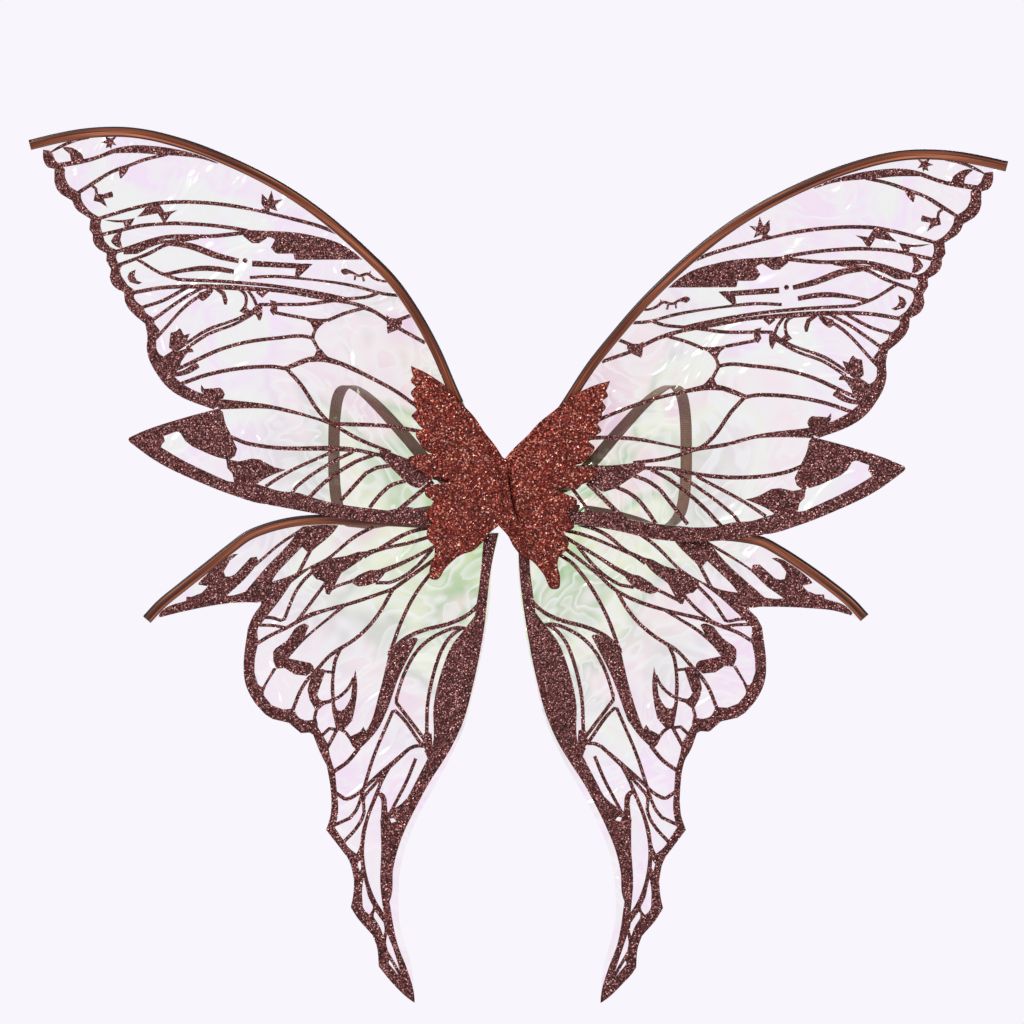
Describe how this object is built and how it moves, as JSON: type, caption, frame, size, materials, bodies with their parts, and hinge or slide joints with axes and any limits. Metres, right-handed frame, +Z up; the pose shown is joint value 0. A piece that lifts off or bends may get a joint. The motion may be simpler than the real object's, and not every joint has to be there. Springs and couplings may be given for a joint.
{
  "type": "folding costume fairy wings",
  "caption": "Pair of folding butterfly-shaped wings of clear film on sprung wires, with raised glitter veins, a glitter centre cover and two elastic arm loops.",
  "frame": {"origin": "centre of the back lining's face that rests on the wearer", "axes": "+Z up the wearer's back, +Y toward the wearer, +X to the wearer's right"},
  "size_m": [0.7976, 0.2047, 0.7236],
  "materials": {
    "film": "clear iridescent crinkled film",
    "vein_glitter": "dark maroon-brown glitter",
    "cover_glitter": "red-copper glitter foam",
    "tape": "glossy copper-brown tape",
    "wire": "spring wire",
    "elastic": "woven elastic",
    "felt": "felt",
    "board": "fine textured plastic board",
    "nylon": "moulded nylon",
    "rivet_metal": "antique copper plating"
  },
  "bodies": {
    "harness": {"back_lining": "felt", "back_board": "board", "centre_block": "nylon", "cover_spine": "cover_glitter", "right_strap": "elastic", "left_strap": "elastic", "right_upper_rivet": "rivet_metal", "left_upper_rivet": "rivet_metal", "right_lower_rivet": "rivet_metal", "left_lower_rivet": "rivet_metal"},
    "right_half": {"right_hub_board": "board", "right_upper_film": "film", "right_upper_veins": "vein_glitter", "right_upper_wire": "wire", "right_upper_binding": "tape", "right_upper_clip": "nylon", "right_lower_film": "film", "right_lower_veins": "vein_glitter", "right_lower_wire": "wire", "right_lower_binding": "tape", "right_lower_clip": "nylon", "right_cover": "cover_glitter"},
    "left_half": {"left_hub_board": "board", "left_upper_film": "film", "left_upper_veins": "vein_glitter", "left_upper_wire": "wire", "left_upper_binding": "tape", "left_upper_clip": "nylon", "left_lower_film": "film", "left_lower_veins": "vein_glitter", "left_lower_wire": "wire", "left_lower_binding": "tape", "left_lower_clip": "nylon", "left_cover": "cover_glitter"}
  },
  "joints": [
    {"name": "right_fold", "type": "hinge", "parent": "harness", "child": "right_half", "pos_m": [0.004, -0.0186, 0], "axis": [0, 0, -1], "range_deg": [-10, 70]},
    {"name": "left_fold", "type": "hinge", "parent": "harness", "child": "left_half", "pos_m": [-0.004, -0.0186, 0], "axis": [0, 0, 1], "range_deg": [-1, 79]}
  ]
}
